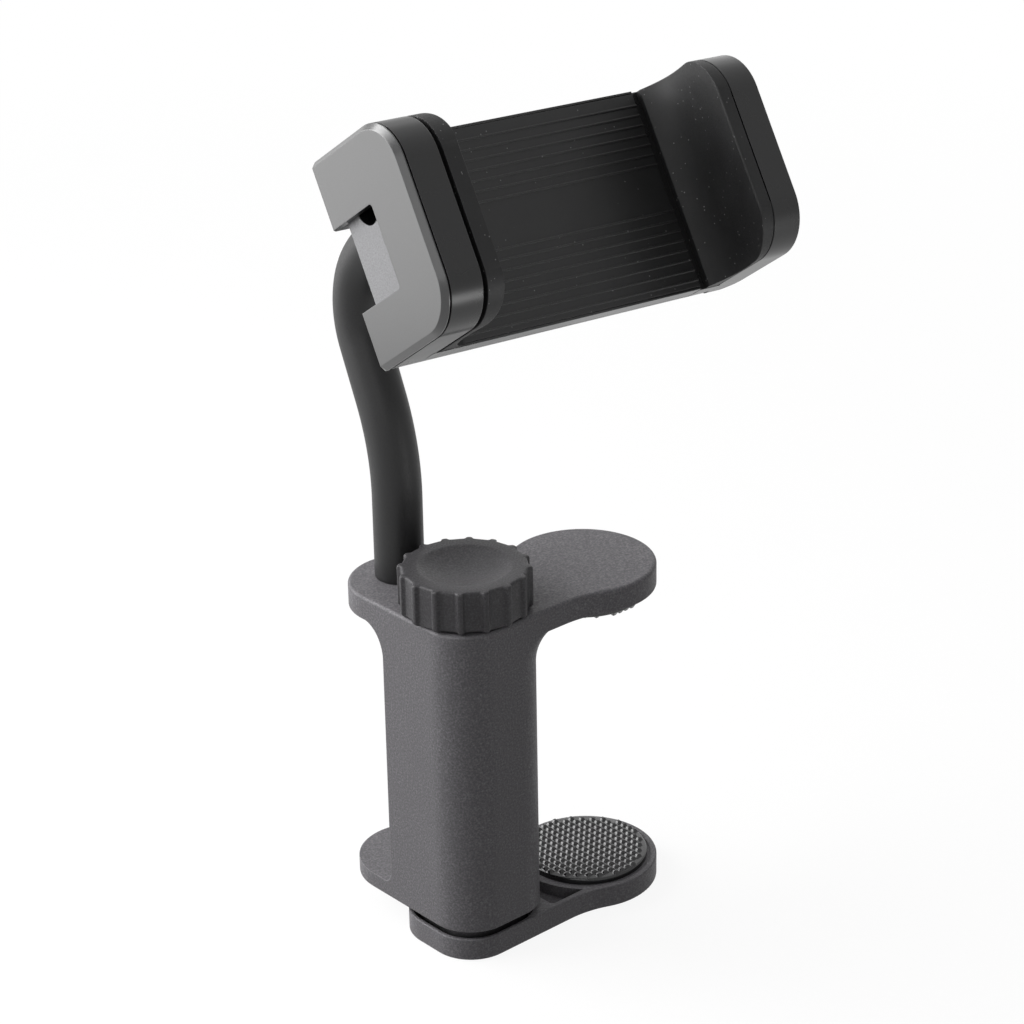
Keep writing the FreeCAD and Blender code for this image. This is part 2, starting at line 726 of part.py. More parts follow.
def lining(shell_x, lip, foot, side):
    """Hollow lining of a jaw: shell_x is its back, lip and foot its reach at the tip and on the bed."""
    tip_x = shell_x + side * lip
    foot_x = shell_x + side * foot
    deep_x = tip_x - side * min(lip - lining_min, hollow_depth)
    nose_x = tip_x - side * lip_round
    nose_z = jaw_tip - lip_round
    nose_side = lip_round * (1 - math.sqrt(0.5))
    low_z = -bed_pad_t
    back = Part.makeLine(Vector(shell_x, 0, low_z), Vector(shell_x, 0, jaw_tip))
    top = Part.makeLine(Vector(shell_x, 0, jaw_tip), Vector(nose_x, 0, jaw_tip))
    nose = Part.Arc(Vector(nose_x, 0, jaw_tip), Vector(tip_x - side * nose_side, 0, jaw_tip - nose_side),
                    Vector(tip_x, 0, nose_z)).toShape()
    sweep = Part.BSplineCurve()
    sweep.interpolate([Vector(tip_x, 0, nose_z), Vector(tip_x - side * lip_lean, 0, jaw_tip - lip_drop),
                       Vector(deep_x, 0, hollow_top), Vector(deep_x, 0, hollow_low),
                       Vector(deep_x + side * foot_reach, 0, foot_curve), Vector(foot_x, 0, foot_t)])
    toe = Part.makeLine(Vector(foot_x, 0, foot_t), Vector(foot_x, 0, low_z))
    under = Part.makeLine(Vector(foot_x, 0, low_z), Vector(shell_x, 0, low_z))
    solid = Part.Face(Part.Wire([back, top, nose, sweep.toShape(), toe, under])).extrude(Y * (2 * w))
    solid.translate(Y * -w)
    return solid.common(along_x(jaw_outline(-clip_back, 0), -fixed_end, moving_end))


# Linings of the fixed and the moving jaw
fixed_lining = lining(fixed_shell_x, fixed_lip, bed_pad_start - fixed_shell_x, 1)
for side in (-1, 1):
    cut_y0, cut_y1 = between(side, w - bed_rim - snug, w + past)
    fixed_lining = fixed_lining.cut(box(fixed_shell_x - past, bed_pad_start + past, cut_y0, cut_y1,
                                        -bed_pad_t - past, snug))
clip_parts["fixed_jaw_pad"] = fixed_lining
jaw_foot_x = bed_end + jaw_gap
toe_x = bed_end + moving_toe_gap
clip_parts["moving_jaw_pad"] = lining(moving_shell_x, moving_lip, moving_shell_x - toe_x, -1)

# Moving jaw, rounded behind, with a pocket for the slider's root
jaw_block = along_x(jaw_outline(-clip_back, low_edge_round), moving_shell_x, moving_end)
jaw_foot = along_x(cover_outline(-bed_pad_t), jaw_foot_x, moving_shell_x + bite)
moving = jaw_block.fuse(jaw_foot).removeSplitter()
roll_x = moving_end - moving_back_round
roll_z = -clip_back + moving_back_round
roll = Part.makeCylinder(moving_back_round, 2 * (w + past), Vector(roll_x, -w - past, roll_z), Y)
back_corner = box(roll_x, moving_end + past, -w - past, w + past, -clip_back - past, roll_z)
moving = moving.cut(back_corner.cut(roll))
arm_high = plate_back - arm_gap
arm_low = arm_high - arm_t
arm_root_x = moving_end - arm_root_wall
root_w = arm_out_y + snug
root = box(jaw_foot_x - past, arm_root_x, -root_w, root_w, arm_low - snug, arm_high + snug)
clip_parts["moving_jaw"] = moving.cut(root)

# Slider: two arms with a tab each, through which the rods pass
arms = box(jaw_foot_x + snug, arm_root_x - snug, -arm_out_y, arm_out_y, arm_low, arm_high)
for side in (-1, 1):
    arm_y0, arm_y1 = between(side, arm_in_y, arm_out_y)
    arms = arms.fuse(box(arm_tail_x, jaw_foot_x + past, arm_y0, arm_y1, arm_low, arm_high))
    tab_y0, tab_y1 = between(side, spring_y - tab_past_rod, arm_in_y + bite)
    arms = arms.fuse(box(arm_tail_x, arm_tail_x + tab_w, tab_y0, tab_y1, arm_low, arm_high))
for side in (-1, 1):
    arms = arms.cut(cylinder_x(rod_r + rod_fit, arm_tail_x - past, arm_tail_x + tab_w + past,
                               side * spring_y, mid_z))
clip_parts["slider"] = arms.removeSplitter()

# Springs on their rods
spring_x0 = arm_tail_x + tab_w + spring_play
spring_len = stop_x - spring_x0 - spring_play
mean_r = spring_r - spring_wire_r
coil_h = spring_len - 2 * spring_wire_r
for name, side in (("1", 1), ("2", -1)):
    clip_parts["spring_rod_" + name] = cylinder_x(rod_r, arm_tail_x, stop_x + stop_t, side * spring_y, mid_z)
    helix = Part.makeHelix(coil_h / spring_coils, coil_h, mean_r)
    wire_ring = Part.Wire(Part.makeCircle(spring_wire_r, Vector(mean_r, 0, 0), Y))
    coil = Part.Wire(helix.Edges).makePipeShell([wire_ring], True, True)
    coil.rotate(ORIGIN, Y, 90)
    coil.translate(Vector(spring_x0 + spring_wire_r, side * spring_y, mid_z))
    clip_parts["spring_" + name] = coil

# Cup of the ball joint with its pivot screw, about the clip's own z axis
ball_z = -ball_to_bed
cup_top = -clip_back - turn_gap
spigot_top = floor_z + spigot_fit
cup = turned([(0, ball_z), (socket_r, ball_z), (socket_r, cup_top), (spigot_r, cup_top),
              (spigot_r, spigot_top), (0, spigot_top)])
ball_hollow = Part.makeSphere(ball_r + ball_fit, Vector(0, 0, ball_z))
pivot_top = spigot_top + pivot_washer_t
screw_end = pivot_top - pivot_len
clip_parts["ball_socket"] = cup.cut(ball_hollow).cut(cylinder(pivot_screw_r, screw_end, 0))
pivot_washer = cylinder(pivot_washer_r, spigot_top, pivot_top)
clip_parts["pivot_washer"] = pivot_washer.cut(cylinder(pivot_screw_r + pivot_play, spigot_top, pivot_top))
head_top = pivot_top + pivot_head_t
pivot = cylinder(pivot_screw_r, screw_end, pivot_top).fuse(cylinder(pivot_head_r, pivot_top, head_top))
clip_parts["pivot_screw"] = pivot.cut(box(-pivot_head_r, pivot_head_r, -pivot_slot_w / 2, pivot_slot_w / 2,
                                          head_top - pivot_slot_depth, head_top + past))

# Lock ring round the cup, open towards the neck
ring_low = ball_z - ring_lip
ring_high = ball_z + ring_skirt
lock_ring = cylinder(ring_r, ring_low, ring_high)
lock_ring = lock_ring.cut([cylinder(socket_r + snug, ball_z, ring_high), ball_hollow])
mouth_len = ring_lip + past
mouth = mouth_len * math.tan(math.radians(mouth_deg))
lock_ring = lock_ring.cut(Part.makeCone(0, mouth, mouth_len, Vector(0, 0, ball_z), -Z))
ring_flutes = []
ring_flute_at = ring_r - ring_flute_depth + ring_flute_r
for i in range(ring_ribs):
    turn = math.radians(360.0 * i / ring_ribs)
    ring_flutes.append(cylinder(ring_flute_r, ring_low - past, ring_high + past,
                                ring_flute_at * math.cos(turn), ring_flute_at * math.sin(turn)))
clip_parts["lock_ring"] = lock_ring.cut(ring_flutes)

# Set the clip on the ball
clip_turn = Rotation(Z, neck_turn).multiply(Rotation(X, clip_lean)).multiply(Rotation(Z, clip_roll))
clip_at = ball_at + clip_turn.multVec(Z) * ball_to_bed
for name, shape in clip_parts.items():
    shape.Placement = Placement(clip_at, clip_turn).multiply(shape.Placement)
    parts[name] = shape

for name, shape in parts.items():
    shape.exportStep("parts/" + name + ".step")
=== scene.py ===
import json
import math

import bmesh
import bpy
from bpy.props import FloatProperty, FloatVectorProperty, IntProperty, PointerProperty
from mathutils import Matrix, Vector


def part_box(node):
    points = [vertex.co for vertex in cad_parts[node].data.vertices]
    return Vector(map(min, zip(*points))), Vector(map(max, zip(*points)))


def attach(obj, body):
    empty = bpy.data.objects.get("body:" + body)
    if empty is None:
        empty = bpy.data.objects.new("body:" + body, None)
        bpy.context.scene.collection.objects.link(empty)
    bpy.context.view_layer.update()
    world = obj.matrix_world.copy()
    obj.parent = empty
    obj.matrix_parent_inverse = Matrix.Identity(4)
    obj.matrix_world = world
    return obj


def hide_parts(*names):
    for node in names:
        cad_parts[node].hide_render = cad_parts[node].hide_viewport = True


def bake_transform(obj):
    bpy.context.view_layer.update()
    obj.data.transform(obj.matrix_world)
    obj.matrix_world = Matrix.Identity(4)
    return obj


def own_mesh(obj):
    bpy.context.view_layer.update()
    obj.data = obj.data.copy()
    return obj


bl_info = {
    "name": "Guitar phone holder",
    "version": (1, 0, 0),
    "blender": (4, 5, 0),
    "location": "3D View > Sidebar > Holder",
    "description": "Models the fine pieces of the phone holder and gives all its pieces their finish",
    "category": "Object",
}

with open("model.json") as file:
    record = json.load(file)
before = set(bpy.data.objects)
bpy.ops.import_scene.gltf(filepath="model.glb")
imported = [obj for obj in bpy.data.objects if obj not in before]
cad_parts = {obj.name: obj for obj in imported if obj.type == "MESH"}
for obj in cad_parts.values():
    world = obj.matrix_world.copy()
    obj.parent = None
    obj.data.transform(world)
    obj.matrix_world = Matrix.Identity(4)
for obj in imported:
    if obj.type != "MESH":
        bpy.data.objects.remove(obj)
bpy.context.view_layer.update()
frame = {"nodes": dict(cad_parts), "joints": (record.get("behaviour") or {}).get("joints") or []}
nodes = frame["nodes"]
joints = {joint["name"]: joint for joint in frame["joints"]}

UP = Vector((0, 0, 1))
BALL = Vector(joints["ball_tilt"]["pos_m"])
SIDE = Vector(joints["neck_bend"]["axis"])
BACK = UP.cross(SIDE)

# The clip's own frame: x along the clip, y across it, z out of the bed
CLIP_X = Vector(joints["clip_slide"]["axis"])
CLIP_Z = Vector(joints["clip_spin"]["axis"])
CLIP_Y = CLIP_Z.cross(CLIP_X)
BALL_TO_BED = 0.019
CLIP_AT = BALL + CLIP_Z * BALL_TO_BED
CLIP_FRAME = Matrix((CLIP_X, CLIP_Y, CLIP_Z)).transposed().to_4x4()
CLIP_FRAME.translation = CLIP_AT

# The neck's route from its seat: straight lengths in metres, bends as (degrees, radius), positive to the back
NECK_SEAT = Vector((0, 0.0227, 0.0824))
NECK_RUNS = [0.0194, (25.3, 0.0524), 0.0128, (-65.3, 0.0194), (-45.0, 0.0372), 0.0077]
SLEEVE_SIDES = 48
SLEEVE_RING = 0.0012     # distance between the sleeve's rings
SLEEVE_EDGE = 0.0003
CORE_SIDES = 24
CORE_START = 0.006
CORE_STOP = 0.006
CORE_DENT = 0.92         # radius of the core between two turns, as a share of its radius

KNOB_FOOT = 0.0004       # slanted edge at the knob's foot
KNOB_RIM = 0.0006        # rounding of the knob's upper edge
KNOB_RIM_STEPS = 4
KNOB_RIB_STEPS = 20      # corners of the knob's outline for each rib
DISH_LIP = 0.0003
DISH_LAND = 0.0016       # flat ring round the dish
DISH_RINGS = (0.995, 0.95, 0.88, 0.78, 0.66, 0.52, 0.37, 0.21, 0.06)
FLUTE_FLAT = 0.62        # flat share of the hollow between two ribs of the knob
FLUTE_STEEP = 1.6        # how steeply the hollow rises to the ribs
FLUTE_SAG = 0.12         # how much deeper the hollow is in its middle

PAD_SIDES = 96
PAD_EDGE = 0.00035
PAD_MARGIN = 0.0007      # ring of the pad without bumps
BUMP_SUNK = 0.0002       # how deep a bump reaches into the pad
BUMP_FOOT = 0.94         # foot of a bump, as a share of the pitch
BUMP_TOP = 0.46          # top of a bump, as a share of its foot
BUMP_EDGE = 0.00016

SEAM_START = 0.00005     # distance of a groove from the back of its piece
NOTCH_REACH = 0.011      # the end plate's seam stays out of the notch within this distance

# Bed of the clip in the clip's frame: start, stop, half width and thickness, and the middle ribs of its groups
BED = (-0.02785, 0.0315, 0.021225, 0.0012)
UPPER_RIBS = 0.0056
LOWER_RIBS = -0.0046
RIB_EDGE = 0.00007

# Notch of the clip's end plate in the clip's frame: its floor, its sides and the bore in its floor
NOTCH_X = -0.0421
NOTCH = (-0.0097, 0.0076, -0.003, 0.0097)
PANEL_THICK = 0.00015
PANEL_EDGE = 0.00004
BORE_AT = (0.0085, 0.0056)
BORE_R = 0.0041
BORE_DEPTH = 0.01
BORE_SIDES = 48

# Springs in the clip's frame
SPRING_START = -0.0349
SPRING_STOP = 0.0079
SPRING_LEVEL = -0.00435
SPRING_SIDE = 0.0087
WIRE_SIDES = 8
COIL_STEPS = 14

# Sockets of a Mix node that is set to colours
MIX_SHARE, MIX_FIRST, MIX_SECOND, MIX_RESULT = 0, 6, 7, 2

# Camera fitted to the photograph
CAMERA_AT = Vector((-0.409406, -0.483364, 0.397145))
CAMERA_RIGHT = Vector((0.74678, -0.66483, -0.01716))
CAMERA_UP = Vector((0.29003, 0.30232, 0.90799))
CAMERA_BACK = Vector((-0.59848, -0.68306, 0.41860))
CAMERA_LENS = 112.493

FLOOR_DROP = 0.0002      # the floor lies this far under the holder
FLOOR_REACH = 4.0
FLOOR_SIDES = 96
FLOOR_INSET = 0.4
BRIGHT_SIDE = Vector((-0.6, 0.7, 0.39))     # the room is brightest toward this side

# Lamps: name, place, target, width, height, watts, spread in degrees
MIDDLE = (0, 0, 0.12)
LAMPS = (
    ("key_lamp", (-0.34, 0.37, 0.4), MIDDLE, 0.5, 0.5, 5.2, 180),
    ("top_lamp", (-0.15, 0.35, 1.25), MIDDLE, 1.4, 1.4, 3.0, 180),
    ("rim_lamp", (0.85, 0.45, 0.4), MIDDLE, 0.6, 1.0, 0.8, 180),
    ("low_panel", (-0.274, 0.39, 0.16), (-0.047, -0.028, 0.18), 0.5, 0.32, 0.65, 180),
    ("side_panel", (-0.85, -0.27, 0.62), (-0.04, -0.035, 0.19), 0.35, 0.35, 0.35, 180),
    ("corner_panel", (0.1, -0.45, 0.05), (-0.04, -0.05, 0.18), 0.14, 0.14, 0.024, 40),
    ("upper_panel", (-0.35, -0.3, 0.4), (0, 0, 0.09), 0.2, 0.2, 0.013, 30),
)


def length_property(name, description, value):
    return FloatProperty(name=name, description=description, default=value, unit="LENGTH", subtype="DISTANCE")


def colour_property(name, description, value):
    return FloatVectorProperty(name=name, description=description, subtype="COLOR", size=4,
                               min=0.0, max=1.0, default=(*value, 1.0))


class HolderSizes(bpy.types.PropertyGroup):
    """Sizes of the modelled pieces."""
    neck_radius: length_property("Neck radius", "Outer radius of the neck's sleeve", 0.00567)
    neck_wall: length_property("Neck wall", "Wall of the neck's sleeve", 0.00145)
    core_radius: length_property("Core radius", "Radius of the wound core in the neck", 0.004)
    core_pitch: length_property("Core winding", "Distance between the turns of the core", 0.0016)
    spring_radius: length_property("Spring radius", "Outer radius of the clip's springs", 0.0014)
    spring_wire: length_property("Spring wire", "Radius of the springs' wire", 0.00025)
    spring_turns: IntProperty(name="Spring turns", description="Turns of each spring", default=14)
    bump_pitch: length_property("Bump pitch", "Distance between the bumps of the clamp pads", 0.0018)
    bump_height: length_property("Bump height", "Height of the bumps of the clamp pads", 0.00075)
    rib_pitch: length_property("Rib pitch", "Distance between the ribs of the bed", 0.00217)
    rib_width: length_property("Rib width", "Width of the ribs of the bed", 0.0004)
    rib_height: length_property("Rib height", "Height of the ribs of the bed", 0.0003)
    upper_ribs: IntProperty(name="Upper ribs", description="Ribs on the bed's upper half", default=7)
    lower_ribs: IntProperty(name="Lower ribs", description="Ribs on the bed's lower half", default=8)
    groove_width: length_property("Groove width", "Width of the groove beside the fixed jaw's lining", 0.0011)
    groove_depth: length_property("Groove depth", "Depth of the groove beside the fixed jaw's lining", 0.0016)
    seam_width: length_property("Seam width", "Width of the narrow seams of the phone clip", 0.00035)
    seam_depth: length_property("Seam depth", "Depth of the narrow seams of the phone clip", 0.0006)
    knob_ribs: IntProperty(name="Knob ribs", description="Ribs round the knob", default=16)
    flute_depth: length_property("Flute depth", "Depth of the hollows between the knob's ribs", 0.00095)
    dish_radius: length_property("Dish radius", "Radius of the hollow in the knob's top", 0.0105)
    dish_depth: length_property("Dish depth", "Depth of the hollow in the knob's top", 0.0026)


class HolderColours(bpy.types.PropertyGroup):
    """Colours of the finishes."""
    charcoal: colour_property("Charcoal plastic", "Grained plastic of the clamp", (0.112, 0.108, 0.115))
    black: colour_property("Black plastic", "Polished plastic of the phone clip", (0.012, 0.012, 0.0125))
    rubber: colour_property("Rubber", "Pads, linings and bed", (0.0105, 0.0105, 0.011))
    skin: colour_property("Neck skin", "Soft sleeve of the neck", (0.0100, 0.0098, 0.0103))
    steel: colour_property("Steel", "Screw, springs and washers", (0.56, 0.56, 0.57))
    black_steel: colour_property("Blackened steel", "Small screws and the ball", (0.05, 0.05, 0.052))
    brass: colour_property("Brass", "Nut of the clamp screw", (0.66, 0.46, 0.17))
    floor: colour_property("Floor", "Pale floor under the holder", (0.9, 0.9, 0.9))


def sizes():
    return bpy.context.scene.holder_sizes


def colours():
    return bpy.context.scene.holder_colours


# Modelling helpers

def clear_selection():
    if bpy.context.object and bpy.context.object.mode != "OBJECT":
        bpy.ops.object.mode_set(mode="OBJECT")
    bpy.ops.object.select_all(action="DESELECT")


def select_where(test, mode="VERT"):
    """Selects, in the mesh being edited, the vertices, edges or faces that pass the test."""
    bpy.ops.mesh.select_mode(type=mode)
    mesh = bpy.context.edit_object.data
    shape = bmesh.from_edit_mesh(mesh)
    bpy.ops.mesh.select_all(action="DESELECT")
    for part in {"VERT": shape.verts, "EDGE": shape.edges, "FACE": shape.faces}[mode]:
        part.select = test(part)
    shape.select_flush_mode()
    bmesh.update_edit_mesh(mesh)


def tidy_normals():
    bpy.ops.mesh.select_all(action="SELECT")
    bpy.ops.mesh.remove_doubles(threshold=1e-6)
    bpy.ops.mesh.normals_make_consistent(inside=False)


def apply_modifier(piece, kind, **settings):
    bpy.context.view_layer.objects.active = piece
    modifier = piece.modifiers.new(kind.title(), kind)
    for name, value in settings.items():
        setattr(modifier, name, value)
    bpy.ops.object.modifier_apply(modifier=modifier.name)


def set_place(piece, matrix=None):
    """Puts the piece's place into its mesh, so that its object sits unturned at the origin."""
    clear_selection()
    piece.select_set(True)
    bpy.context.view_layer.objects.active = piece
    if matrix is not None:
        piece.matrix_world = matrix @ piece.matrix_world
    bpy.ops.object.transform_apply(location=True, rotation=True, scale=True)


def smooth_shading(piece, degrees):
    clear_selection()
    piece.select_set(True)
    bpy.context.view_layer.objects.active = piece
    bpy.ops.object.shade_smooth_by_angle(angle=math.radians(degrees))


def even_shading(piece, degrees):
    """Smooth shading that keeps flat faces flat."""
    smooth_shading(piece, degrees)
    apply_modifier(piece, "WEIGHTED_NORMAL", keep_sharp=True, weight=90)


def join_pieces(first, others):
    clear_selection()
    for piece in others:
        piece.select_set(True)
    first.select_set(True)
    bpy.context.view_layer.objects.active = first
    bpy.ops.object.join()


def set_finish(piece, material):
    piece.data.materials.clear()
    piece.data.materials.append(material)


# Finishes

def feed(tree, node, inputs):
    """Sets a node's inputs to numbers, to colours or to the sockets that feed them."""
    for name, value in inputs.items():
        socket = node.inputs[name]
        if isinstance(value, bpy.types.NodeSocket):
            tree.links.new(value, socket)
        else:
            socket.default_value = value


def add_node(tree, kind, inputs=None, **settings):
    node = tree.nodes.new(kind)
    for name, value in settings.items():
        setattr(node, name, value)
    feed(tree, node, inputs or {})
    return node


def grey(level):
    return (level, level, level, 1.0)


def shade(colour, share):
    return (*[min(1.0, part * share) for part in colour[:3]], 1.0)


def blank_finish(name):
    material = bpy.data.materials.new(name)
    material.use_nodes = True
    tree = material.node_tree
    shader = tree.nodes["Principled BSDF"]
    place = add_node(tree, "ShaderNodeTexCoord").outputs["Object"]
    return material, tree, shader, place


def noise(tree, place, scale, detail, roughness):
    inputs = {"Vector": place, "Scale": scale, "Detail": detail, "Roughness": roughness}
    return add_node(tree, "ShaderNodeTexNoise", inputs).outputs["Fac"]


def ramp(tree, value, stops):
    """Colour ramp from (position, colour) stops."""
    node = add_node(tree, "ShaderNodeValToRGB", {"Fac": value})
    band = node.color_ramp
    band.elements[0].position, band.elements[0].color = stops[0]
    band.elements[1].position, band.elements[1].color = stops[-1]
    for position, colour in stops[1:-1]:
        band.elements.new(position).color = colour
    return node.outputs["Color"]


def scaled(tree, value, low, high, start=0.0, stop=1.0):
    """Maps a value between low and high to the stretch from start to stop."""
    inputs = {"Value": value, "From Min": low, "From Max": high, "To Min": start, "To Max": stop}
    return add_node(tree, "ShaderNodeMapRange", inputs).outputs["Result"]


def mixed(tree, share, first, second):
    inputs = {MIX_SHARE: share, MIX_FIRST: first, MIX_SECOND: second}
    return add_node(tree, "ShaderNodeMix", inputs, data_type="RGBA").outputs[MIX_RESULT]


def computed(tree, operation, *values):
    inputs = dict(enumerate(values))
    return add_node(tree, "ShaderNodeMath", inputs, operation=operation).outputs["Value"]


def vector_value(tree, operation, *vectors):
    inputs = dict(enumerate(vectors))
    return add_node(tree, "ShaderNodeVectorMath", inputs, operation=operation).outputs["Value"]


def round_edges(tree, radius):
    """Normal that rounds the edges a little, and a mask of those edges."""
    normal = add_node(tree, "ShaderNodeBevel", {"Radius": radius}, samples=6).outputs["Normal"]
    flat = add_node(tree, "ShaderNodeNewGeometry").outputs["Normal"]
    return normal, scaled(tree, vector_value(tree, "DOT_PRODUCT", normal, flat), 0.99, 0.8)


def bumped(tree, height, strength, distance, normal=None):
    inputs = {"Height": height, "Strength": strength, "Distance": distance}
    if normal is not None:
        inputs["Normal"] = normal
    return add_node(tree, "ShaderNodeBump", inputs).outputs["Normal"]


def make_charcoal(name, share, rough, gloss):
    """Charcoal plastic with a fine sparkling grain, edges painted paler as a painted highlight, and painted
    shade that darkens narrow recesses.
    """
    colour = shade(colours().charcoal, share)
    material, tree, shader, place = blank_finish(name)
    grain = noise(tree, place, scale=2300.0, detail=2.0, roughness=0.6)
    cloud = noise(tree, place, scale=90.0, detail=3.0, roughness=0.5)
    stops = [(0.30, shade(colour, 0.72)), (0.52, shade(colour, 1.0)), (0.74, shade(colour, 1.62))]
    speckled = ramp(tree, grain, stops)
    clouded = mixed(tree, scaled(tree, cloud, 0.35, 0.65, 0.0, 0.22), speckled, shade(colour, 0.82))
    normal, edge = round_edges(tree, 0.0004)
    # painted highlight: the edges are lightened in the base colour
    painted_edge_highlight = mixed(tree, scaled(tree, edge, 0.0, 1.0, 0.0, 0.6), clouded, shade(colour, 2.0))
    # painted shade: ambient occlusion darkens the base colour in narrow recesses and gaps
    recess = add_node(tree, "ShaderNodeAmbientOcclusion", {"Distance": 0.004}, samples=6, only_local=True)
    painted_recess_shade = mixed(tree, scaled(tree, recess.outputs["AO"], 0.25, 0.7), shade(colour, 0.12), painted_edge_highlight)
    feed(tree, shader, {
        "Base Color": painted_recess_shade,
        "Roughness": scaled(tree, grain, 0.3, 0.7, rough + 0.08, rough - 0.08),
        "Normal": bumped(tree, grain, 0.30, 0.00006, normal),
        "Specular IOR Level": gloss,
    })
    return material


def make_black_plastic(name, share, rough, coat, grain_depth):
    """Black plastic: faint smudges, a very fine grain and a painted highlight on its edges."""
    colour = shade(colours().black, share)
    material, tree, shader, place = blank_finish(name)
    smudge = noise(tree, place, scale=70.0, detail=2.0, roughness=0.5)
    grain = noise(tree, place, scale=3600.0, detail=2.0, roughness=0.6)
    tinted = ramp(tree, grain, [(0.3, shade(colour, 0.8)), (0.7, shade(colour, 1.25))])
    normal, edge = round_edges(tree, 0.0003)
    # painted highlight: the edges are lightened in the base colour
    feed(tree, shader, {
        "Base Color": mixed(tree, scaled(tree, edge, 0.0, 1.0, 0.0, 0.35), tinted, shade(colour, 2.2)),
        "Roughness": scaled(tree, smudge, 0.3, 0.7, rough - 0.02, rough + 0.02),
        "Normal": bumped(tree, grain, grain_depth, 0.00002, normal),
        "Coat Weight": coat,
        "Coat Roughness": 0.22,
    })
    return material


def make_rubber(name, share, dust, grain_depth, rough, gloss):
    """Dull black rubber with small pale dust specks and a painted highlight on its edges."""
    colour = shade(colours().rubber, share)
    material, tree, shader, place = blank_finish(name)
    grain = noise(tree, place, scale=2800.0, detail=3.0, roughness=0.6)
    cloud = noise(tree, place, scale=140.0, detail=3.0, roughness=0.5)
    base = ramp(tree, cloud, [(0.35, shade(colour, 0.85)), (0.7, shade(colour, 1.3))])
    cells = add_node(tree, "ShaderNodeTexVoronoi", {"Vector": place, "Scale": 1300.0})
    near = scaled(tree, cells.outputs["Distance"], 0.22, 0.12)
    parts = add_node(tree, "ShaderNodeSeparateColor", {"Color": cells.outputs["Color"]})
    chosen = scaled(tree, parts.outputs["Red"], 1.0 - dust, 1.0 - dust + 0.02)
    speck = computed(tree, "MULTIPLY", near, chosen)
    dusted = mixed(tree, scaled(tree, speck, 0.0, 1.0, 0.0, 0.75), base, grey(0.2))
    normal, edge = round_edges(tree, 0.00025)
    # painted highlight: the edges, and with them the bed's narrow ribs, are lightened in the base colour
    feed(tree, shader, {
        "Base Color": mixed(tree, scaled(tree, edge, 0.0, 1.0, 0.0, 0.7), dusted, shade(colour, 4.5)),
        "Roughness": scaled(tree, grain, 0.3, 0.7, rough - 0.08, rough + 0.08),
        "Normal": bumped(tree, grain, grain_depth, 0.00005, normal),
        "Specular IOR Level": gloss,
    })
    return material


def make_soft_sleeve(name, rough, gloss):
    """Soft matte sleeve with a fine, cloudy grain."""
    colour = colours().skin
    material, tree, shader, place = blank_finish(name)
    grain = noise(tree, place, scale=2100.0, detail=3.0, roughness=0.65)
    cloud = noise(tree, place, scale=110.0, detail=3.0, roughness=0.5)
    speckled = ramp(tree, grain, [(0.32, shade(colour, 0.75)), (0.72, shade(colour, 1.5))])
    feed(tree, shader, {
        "Base Color": mixed(tree, scaled(tree, cloud, 0.35, 0.7, 0.0, 0.3), speckled, shade(colour, 1.35)),
        "Roughness": scaled(tree, grain, 0.3, 0.7, rough - 0.08, rough + 0.08),
        "Normal": bumped(tree, grain, 0.3, 0.00006),
        "Specular IOR Level": gloss,
    })
    return material


def make_metal(name, tint, rough, metallic):
    """Turned metal: fine rings of tool marks and slight stains."""
    colour = getattr(colours(), tint)
    material, tree, shader, place = blank_finish(name)
    stain = noise(tree, place, scale=260.0, detail=4.0, roughness=0.6)
    stretched = add_node(tree, "ShaderNodeMapping", {"Vector": place, "Scale": (300.0, 300.0, 5200.0)})
    marks = noise(tree, stretched.outputs["Vector"], scale=1.0, detail=2.0, roughness=0.5)
    feed(tree, shader, {
        "Base Color": ramp(tree, stain, [(0.3, shade(colour, 0.8)), (0.7, shade(colour, 1.12))]),
        "Roughness": scaled(tree, marks, 0.3, 0.7, rough - 0.08, rough + 0.1),
        "Normal": bumped(tree, marks, 0.12, 0.00003),
        "Metallic": metallic,
    })
    return material


# Each finish: its maker and the maker's settings, in the order in which the maker names them
FINISHES = {
    "charcoal_grain": (make_charcoal, 1.0, 0.54, 0.28),
    "knob_plastic": (make_charcoal, 0.4, 0.46, 0.24),
    "satin_black": (make_black_plastic, 1.0, 0.36, 0.0, 0.1),
    "polished_black": (make_black_plastic, 0.8, 0.28, 0.0, 0.02),
    "plate_black": (make_black_plastic, 1.2, 0.32, 0.85, 0.01),
    "notch_grey": (make_black_plastic, 13.0, 0.55, 0.4, 0.02),
    "pad_rubber": (make_rubber, 1.0, 0.02, 0.05, 0.2, 0.6),
    "dusty_rubber": (make_rubber, 0.75, 0.14, 0.16, 0.5, 0.34),
    "bed_rubber": (make_rubber, 0.55, 0.05, 0.06, 0.42, 0.5),
    "soft_sleeve": (make_soft_sleeve, 0.48, 0.4),
    "bright_steel": (make_metal, "steel", 0.3, 1.0),
    "blackened_steel": (make_metal, "black_steel", 0.42, 0.8),
    "turned_brass": (make_metal, "brass", 0.28, 1.0),
}


def finish_named(name):
    """The named finish, made when it is first asked for."""
    made = bpy.data.materials.get(name)
    if made:
        return made
    maker, *settings = FINISHES[name]
    return maker(name, *settings)


# Pieces

def neck_way(lean):
    return BACK * math.sin(lean) + UP * math.cos(lean)


